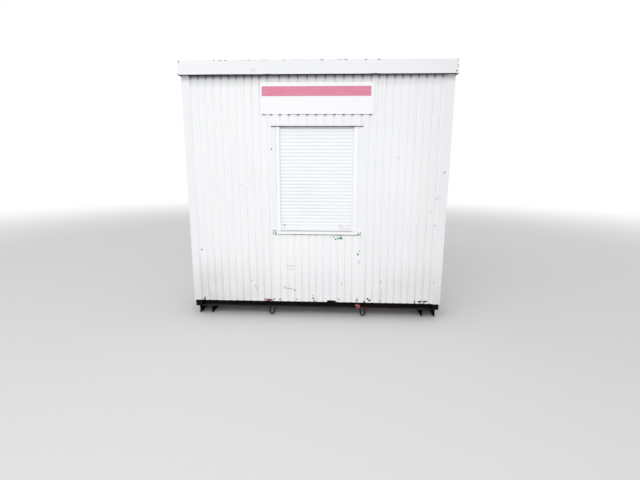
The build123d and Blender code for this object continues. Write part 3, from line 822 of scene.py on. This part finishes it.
def makeBottomBar():
    bar = ownCopy("shutter_bottom_bar")
    lines = [barLow.z + barLines["aboveFoot"], barHigh.z - barLines["belowTop"]]
    half = barLines["halfWidth"]
    splitAt(bar, (0, 0, 1), [line + side * half for line in lines for side in (-1, 1)])
    pick(bar, "FACE", lambda face: face.normal.y < -0.9
         and min(abs(face.center.z - line) for line in lines) < half)
    bpy.ops.mesh.extrude_region_move(TRANSFORM_OT_translate={"value": (0, barLines["depth"], 0)})
    stopEditing()
    standIn(bar, "shutter_bottom_bar", barLines["edge"])


# A rubber stop at the left end of the curtain; only the screws are left of the others
cup = {"height": 1.1245, "x": [-0.370], "radius": 0.0072, "tip": 0.006, "root": 0.006, "reach": 0.007,
       "sides": 20, "rim": 0.002, "hollow": 0.003, "edge": 0.0006}
screw = {"height": 1.1245, "x": [0.284, 0.368], "radius": 0.006, "tip": 0.0048, "root": 0.004,
         "reach": 0.0035, "sides": 16, "edge": 0.0005}


def stopRods(name, look):
    face, z = curtainLow.y, look["height"]
    return [addRod(name, (x, face + look["root"], z), (x, face - look["reach"], z), look["radius"],
                   look["sides"], look["tip"]) for x in look["x"]]


def makeStops():
    stop = stopRods("shutterStop", cup)[0]
    pickSide(stop, 0, -1, 0)
    bpy.ops.mesh.inset(thickness=cup["rim"])
    movePicked(0, cup["hollow"], 0)
    easeEdges(stop, cup["edge"])
    finishPiece(stop, "shutter", finish=rubberFinish)
    screws = stopRods("stopScrews", screw)
    for rod in screws:
        easeEdges(rod, screw["edge"])
    finishPiece(joinAll("stopScrews", screws), "shutter", finish=zincFinish)


# Guide channels, whose inner lips have been dressed towards the curtain
guideLow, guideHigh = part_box("shutter_guides")
lips = {"width": 0.036, "leftShift": 0.004, "rightShift": -0.013, "edge": 0.001}


def makeGuides():
    guides = ownCopy("shutter_guides")
    for edge, shift in ((guideLow.x + lips["width"], lips["leftShift"]),
                        (guideHigh.x - lips["width"], lips["rightShift"])):
        pickPoints(guides, lambda place: abs(place.x - edge) < closeBy)
        movePicked(shift, 0, 0)
    standIn(guides, "shutter_guides", lips["edge"])


# Dark rubber strips standing in for thin lines of shadow: under the sill by start, end and how far they hang,
# and beside the guides by side, foot, top and width
strips = {"sill": [(openingLow.x + 0.016, -0.290, 0.0055), (-0.2895, openingHigh.x - 0.016, 0.0072)],
          "sillDepth": 0.0075,
          "guides": [(-1, 1.50, 2.255, 0.0013), (-1, 1.068, 1.4995, 0.0006), (1, 1.068, 2.255, 0.0005)],
          "guideFront": 0.0008, "guideBack": 0.006, "clear": 0.0002, "edge": 0.0002}


def makeShadowStrips():
    clear = strips["clear"]
    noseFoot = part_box("window_sill")[0].z
    front = frontFace - strips["sillDepth"]
    boxes = [((start, front, noseFoot - hangs), (end, frontFace - clear, noseFoot - clear))
             for start, end, hangs in strips["sill"]]
    for side, foot, top, width in strips["guides"]:
        inner = (guideLow.x if side < 0 else guideHigh.x) + side * clear / 2
        left, right = sorted((inner, inner + side * width))
        boxes.append(((left, guideLow.y + strips["guideFront"], foot),
                      (right, guideLow.y + strips["guideBack"], top)))
    rubberPiece(joinedBlocks("shadowStrips", strips["edge"], boxes))


# Foam fillers in the grooves where the fascia closes them, and dark pads where the sign board does,
# which with a strip under its foot stand in for the shadow in the gap behind the board
grooves = {"leftFirst": 0.019, "rightFirst": 0.075, "pitch": 0.0854, "coverFirst": 0.102, "coverPitch": 0.101,
           "lastMargin": 0.013}
fillers = {"width": 0.022, "depth": 0.0075, "hangs": 0.007, "above": 0.018, "below": 0.002, "footWidth": 0.62,
           "footDepth": 0.7, "backWidth": 0.6, "clear": 0.0003, "edge": 0.0015}
pads = {"left": [-0.583, -0.505], "width": 0.034, "height": 0.0088, "depth": 0.0070, "footWidth": 0.7,
        "edge": 0.0012, "stripFrom": 0.300, "stripTo": 0.004, "stripHeight": 0.0009, "under": 0.0002,
        "stripEdge": 0.0002}


def grooveMiddles(wallName, first, pitch):
    low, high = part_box(wallName)
    count = int((high.x - low.x - first - grooves["lastMargin"]) / pitch) + 1
    return [low.x + first + index * pitch for index in range(count)]


def makeGrooveFillers():
    inner = frontFace + fillers["clear"]
    filler = addBlock("grooveFiller", (-fillers["width"] / 2, inner, -fillers["hangs"]),
                      (fillers["width"] / 2, inner + fillers["depth"], fillers["above"]))
    pickSide(filler, 0, 0, -1)
    scalePicked(fillers["footWidth"], fillers["footDepth"], 1)
    pickSide(filler, 0, 1, 0)
    scalePicked(fillers["backWidth"], 1, 1)
    easeEdges(filler, fillers["edge"])
    middles = (grooveMiddles("front_wall_left", grooves["leftFirst"], grooves["pitch"])
               + grooveMiddles("front_wall_right", grooves["rightFirst"], grooves["pitch"])
               + grooveMiddles("front_wall_above_window", grooves["coverFirst"], grooves["coverPitch"]))
    level = eavesHeight - fillers["below"]
    rubberPiece(repeated("grooveFillers", filler, [(x, 0, level) for x in middles]))
    makeSignShadowPads(middles)


def makeSignShadowPads(middles):
    low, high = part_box("sign_board")
    front, back = frontFace - pads["depth"], frontFace - fillers["clear"]
    pad = addBlock("signShadowPad", (-pads["width"] / 2, front, -pads["height"]),
                   (pads["width"] / 2, back, -pads["under"]))
    pickSide(pad, 0, 0, -1)
    scalePicked(pads["footWidth"], 1, 1)
    easeEdges(pad, pads["edge"])
    places = pads["left"] + [x for x in middles if pads["left"][1] < x < high.x]
    strip = addBlock("signFootShadow", (low.x + pads["stripFrom"], front, low.z - pads["stripHeight"]),
                     (high.x - pads["stripTo"], back, low.z - pads["under"]))
    easeEdges(strip, pads["stripEdge"])
    # dark pads and strip: painted shadow under the sign board
    rubberPiece(joinAll("signShadowPads", [repeated("signShadowPads", pad, [(x, 0, low.z) for x in places]), strip]))


# Dark seal under the head flashing, standing in for the shadow in the gap there, and brush seals along the
# guides
headShadowSeal = {"inset": 0.002, "front": 0.0025, "back": 0.001, "below": 0.0072, "above": 0.0052, "edge": 0.0015}
brush = {"fromEnd": 0.022, "width": 0.004, "front": 0.0035, "back": 0.0005, "foot": 0.002, "top": 0.014,
         "edge": 0.001}


def makeWindowSeals():
    low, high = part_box("window_head_flashing")
    rubberPiece(joinedBlocks("headShadowSeal", headShadowSeal["edge"], [
        ((low.x + headShadowSeal["inset"], low.y + headShadowSeal["front"], low.z - headShadowSeal["below"]),
         (high.x - headShadowSeal["inset"], frontFace + headShadowSeal["back"], low.z + headShadowSeal["above"]))]))
    boxes = []
    for side, edge in ((-1, curtainLow.x + brush["fromEnd"] + lips["leftShift"]),
                       (1, curtainHigh.x - brush["fromEnd"] + lips["rightShift"])):
        left, right = sorted((edge, edge - side * brush["width"]))
        boxes.append(((left, curtainLow.y - brush["front"], barLow.z + brush["foot"]),
                      (right, curtainLow.y - brush["back"], guideHigh.z - brush["top"])))
    finishPiece(joinedBlocks("guideBrushes", brush["edge"], boxes), "guide")


for make in (makeSlats, makeBottomBar, makeStops, makeGuides, makeShadowStrips, makeGrooveFillers,
             makeWindowSeals):
    make()
print("window done")


# Towing eyes: round bar bent into a U, cut off level under the rail and welded on
eye = {"spacing": 1.112, "shift": 0.018, "bar": 0.008, "bend": 0.027, "root": 0.023, "inset": 0.045,
       "slope": 45, "reach": 0.072, "buried": 0.016, "sides": 20}
# A weld is a row of small overlapping ripples
welds = {"ripple": 0.0042, "flatness": 0.8, "roundFoot": 12, "footWidth": 0.0088, "footLength": 0.0118,
         "cornerCount": 14, "cornerPitch": 0.0075, "cornerInset": 0.0472, "cornerFrom": 0.010,
         "skidCount": 22, "skidPitch": 0.007, "skidFrom": 0.006}
railLow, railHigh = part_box("front_rail")


def makeTowingEyes():
    # gives back the places of the weld ripples round the feet
    slope = math.radians(eye["slope"])
    fall = Vector((0, -math.cos(slope), -math.sin(slope)))
    bend = eye["bend"]
    leg = eye["reach"] + eye["buried"]
    eyes, ripples = [], []
    for side in (-1, 1):
        middle = Vector((eye["shift"] + side * eye["spacing"] / 2,
                         frontFace + eye["inset"] + eye["root"], railLow.z))
        start = middle + Vector((-bend, 0, 0)) - fall * eye["buried"]
        bpy.ops.mesh.primitive_circle_add(vertices=eye["sides"], radius=eye["bar"], fill_type="NGON",
                                          location=start, rotation=fall.to_track_quat("Z", "X").to_euler())
        bar = justAdded("eye")
        startEditing(bar)
        selectAll()
        bpy.ops.mesh.extrude_region_move(TRANSFORM_OT_translate={"value": fall * leg})
        bpy.ops.mesh.delete(type="ONLY_FACE")
        stopEditing()
        bendMiddle = middle + fall * eye["reach"]
        pickEdges(bar, lambda end: (end - start).dot(fall) > leg - closeBy)
        bpy.ops.mesh.spin(steps=20, angle=math.pi, center=bendMiddle, axis=Vector((1, 0, 0)).cross(fall))
        stopEditing()
        pickPoints(bar, lambda end: abs((end - bendMiddle).dot(fall)) < closeBy / 2 and end.x > middle.x)
        bpy.ops.mesh.select_mode(type="EDGE")
        bpy.ops.mesh.extrude_region_move(TRANSFORM_OT_translate={"value": fall * -leg})
        selectAll()
        bpy.ops.mesh.remove_doubles(threshold=0.00005)
        bpy.ops.mesh.bisect(plane_co=(0, 0, railLow.z), plane_no=(0, 0, 1), clear_outer=True, use_fill=True)
        selectAll()
        bpy.ops.mesh.normals_make_consistent(inside=False)
        stopEditing()
        smoothBelow(bar, 40)
        eyes.append(bar)
        for foot in (-1, 1):
            for step in range(welds["roundFoot"]):
                angle = 2 * math.pi * step / welds["roundFoot"]
                ripples.append((middle.x + foot * bend + welds["footWidth"] * math.cos(angle),
                                middle.y + welds["footLength"] * math.sin(angle), railLow.z - 0.001))
    finishPiece(joinAll("towingEyes", eyes), "base_steel", "towing_eyes")
    return ripples


def makeWelds(spots):
    bpy.ops.mesh.primitive_ico_sphere_add(subdivisions=1, radius=welds["ripple"])
    joined = repeated("welds", justAdded("ripple", (1, 1, welds["flatness"])), spots)
    applyModifier(joined, "SUBSURF", levels=1, render_levels=1)
    selectOnly(joined)
    bpy.ops.object.shade_smooth()
    finishPiece(joined, "base_steel")


# up the web at each mitred corner, and along each skid's end, under the end rail
corner = [(railHigh.x - welds["cornerInset"], -railLow.y - welds["cornerInset"],
           railLow.z + welds["cornerFrom"] + step * welds["cornerPitch"])
          for step in range(welds["cornerCount"])]
corner += [(railHigh.x - welds["skidFrom"] - step * welds["skidPitch"], -railLow.y - 0.001, railLow.z - 0.002)
           for step in range(welds["skidCount"])]
weldSpots = makeTowingEyes() + [(sideX * x, sideY * y, z) for sideX in (-1, 1) for sideY in (-1, 1)
                                for x, y, z in corner]
makeWelds(weldSpots)
print("base done:", len(weldSpots), "weld ripples")


# Roof screws: a washer under a hexagon head, on the ribs
ribScrew = {"perRib": 5, "pitch": 0.25, "endGap": 0.12, "washer": 0.0095, "washerTop": 0.0016,
            "head": 0.0055, "headFoot": 0.0014, "headTop": 0.0044, "taper": 0.92}


def makeRoofScrews():
    low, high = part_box("roof_sheet")
    sheet = bpy.data.objects["roof-sheet"]
    washer = addRod("roofWasher", (0, 0, 0), (0, 0, ribScrew["washerTop"]), ribScrew["washer"], 14)
    easeEdges(washer, 0.0005, 1)
    radius = ribScrew["head"]
    head = addRod("roofHead", (0, 0, ribScrew["headFoot"]), (0, 0, ribScrew["headTop"]), radius, 6,
                  radius * ribScrew["taper"])
    easeEdges(head, 0.0006, 1)
    screw = joinAll("roofScrew", [washer, head])
    count = int((high.y - low.y) / ribScrew["pitch"])
    places = []
    for row in range(count):
        y = (row - (count - 1) / 2) * ribScrew["pitch"]
        for column in range(ribScrew["perRib"]):
            x = (column / (ribScrew["perRib"] - 1) - 0.5) * 2 * (high.x - ribScrew["endGap"])
            found, place = sheet.ray_cast(Vector((x, y, high.z + 0.5)), Vector((0, 0, -1)))[:2]
            if found:
                places.append((x, y, place.z))
    finishPiece(repeated("roofScrews", screw, places), "roof_paint", finish=zincFinish)
    print("roof screws:", len(places))


makeRoofScrews()


# Door fittings on the other end
doorLow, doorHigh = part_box("door_leaf")
doorSeal = {"back": 0.010, "depth": 0.012, "gap": 0.0026, "clear": 0.0002, "edge": 0.0008}


def makeDoorSeal():
    outer = doorHigh.y - doorSeal["back"]
    inner = outer - doorSeal["depth"]
    gap, clear = doorSeal["gap"], doorSeal["clear"]
    top = doorHigh.z + gap
    rubberPiece(joinedBlocks("doorSeal", doorSeal["edge"], [
        ((doorLow.x - gap, inner, doorLow.z), (doorLow.x - clear, outer, top)),
        ((doorHigh.x + clear, inner, doorLow.z), (doorHigh.x + gap, outer, top)),
        ((doorLow.x, inner, doorHigh.z + clear), (doorHigh.x, outer, top))]))


# Each hinge barrel is parted into knuckles on a thinner pin
hinge = {"knuckles": 3, "slot": 0.0012, "margin": 0.01, "pin": 0.0035, "pinInset": 0.001, "edge": 0.0008}


def makeHinges():
    hinges = ownCopy("door_hinges")
    low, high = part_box("door_hinges")
    x, y, margin = (low.x + high.x) / 2, (low.y + high.y) / 2, hinge["margin"]
    levels = sorted({round(point.co.z, 4) for point in hinges.data.vertices})
    barrels = list(zip(levels[0::2], levels[1::2]))
    for foot, top in barrels:
        for part in range(1, hinge["knuckles"]):
            level = foot + part * (top - foot) / hinge["knuckles"]
            cutWith(hinges, addBlock("slot", (low.x - margin, low.y - margin, level - hinge["slot"] / 2),
                                     (high.x + margin, high.y + margin, level + hinge["slot"] / 2)))
    easeEdges(hinges, hinge["edge"])
    inset = hinge["pinInset"]
    pins = [addRod("hingePin", (x, y, foot + inset), (x, y, top - inset), hinge["pin"], 12)
            for foot, top in barrels]
    for pin in pins:
        easeEdges(pin, hinge["edge"])
    finishPiece(joinAll("doorHinges", [hinges] + pins), "trim_paint", "door_hinges")


makeDoorSeal()
makeHinges()
foldedCopy("door_handle", 0.0018, segments=3)
print("door done")


# Floor, light and camera

# The lamps have a place, a target, a size and a power
studio = {"floorColour": (228, 228, 227), "floorSize": 120, "whiteFrom": 6.0, "whiteTo": 18.0,
          "skyLevel": 0.765, "keyLight": ((-4.0, -8.0, 7.5), (0, -2, 1.6), 6.0, 106),
          "fillLight": ((-0.3, -10.0, 1.1), (0, -3, 0.8), 5.0, 142)}


def studioFloor():
    bpy.ops.mesh.primitive_plane_add(size=studio["floorSize"])
    floor = bpy.context.object
    floor.name = "studioFloor"
    ground = Finish("studioFloor", studio["floorColour"], 0.9)
    distance = ground.node("VectorMath", {0: ground.place}, operation="LENGTH").outputs["Value"]
    fade = ground.ramp(distance, studio["whiteFrom"], studio["whiteTo"])
    seen = ground.node("LightPath").outputs["Is Camera Ray"]
    white = ground.node("Emission").outputs["Emission"]
    mixed = ground.node("MixShader", {"Fac": ground.times(fade, seen), 1: ground.shader.outputs["BSDF"],
                                      2: white})
    ground.feed(mixed.outputs["Shader"], ground.tree.nodes["Material Output"].inputs["Surface"])
    floor.data.materials.append(ground.done())


def studioSky():
    world = bpy.data.worlds.new("studioSky")
    bpy.context.scene.world = world
    sky = NodeTree(world)
    rays = sky.node("LightPath").outputs
    direct = sky.highest(rays["Is Camera Ray"], rays["Is Glossy Ray"], rays["Is Transmission Ray"])
    level = sky.node("MapRange", {"Value": direct, "To Min": studio["skyLevel"], "To Max": 1.0})
    background = sky.tree.nodes["Background"].inputs
    background["Color"].default_value = (1, 1, 1, 1)
    sky.feed(level.outputs["Result"], background["Strength"])


def softLight(name, place, target, size, power):
    bpy.ops.object.light_add(type="AREA", location=place)
    lamp = bpy.context.object
    lamp.name = name
    lamp.data.size = size
    lamp.data.energy = power
    lamp.visible_camera = False
    lamp.rotation_euler = (Vector(target) - Vector(place)).to_track_quat("-Z", "Y").to_euler()


view = {"place": (0.2119, -7.1778, 1.727), "turn": 2.237, "tilt": 10.505, "roll": 0.263, "focalPixels": 360,
        "imageWidth": 640, "sensorWidth": 36}


def photoCamera():
    bpy.ops.object.camera_add(location=view["place"])
    camera = bpy.context.object
    camera.name = "photoCamera"
    camera.data.sensor_width = view["sensorWidth"]
    camera.data.lens = view["sensorWidth"] * view["focalPixels"] / view["imageWidth"]
    turned = Matrix.Rotation(math.radians(view["turn"]), 3, "Z")
    tilted = Matrix.Rotation(math.radians(90 - view["tilt"]), 3, "X")
    rolled = Matrix.Rotation(math.radians(view["roll"]), 3, "Z")
    camera.rotation_euler = (turned @ tilted @ rolled).to_euler()
    camera.data.dof.use_dof = False
    bpy.context.scene.camera = camera


studioFloor()
studioSky()
for name in ("keyLight", "fillLight"):
    softLight(name, *studio[name])
photoCamera()
bpy.context.scene.view_settings.view_transform = "Standard"
print("studio ready")
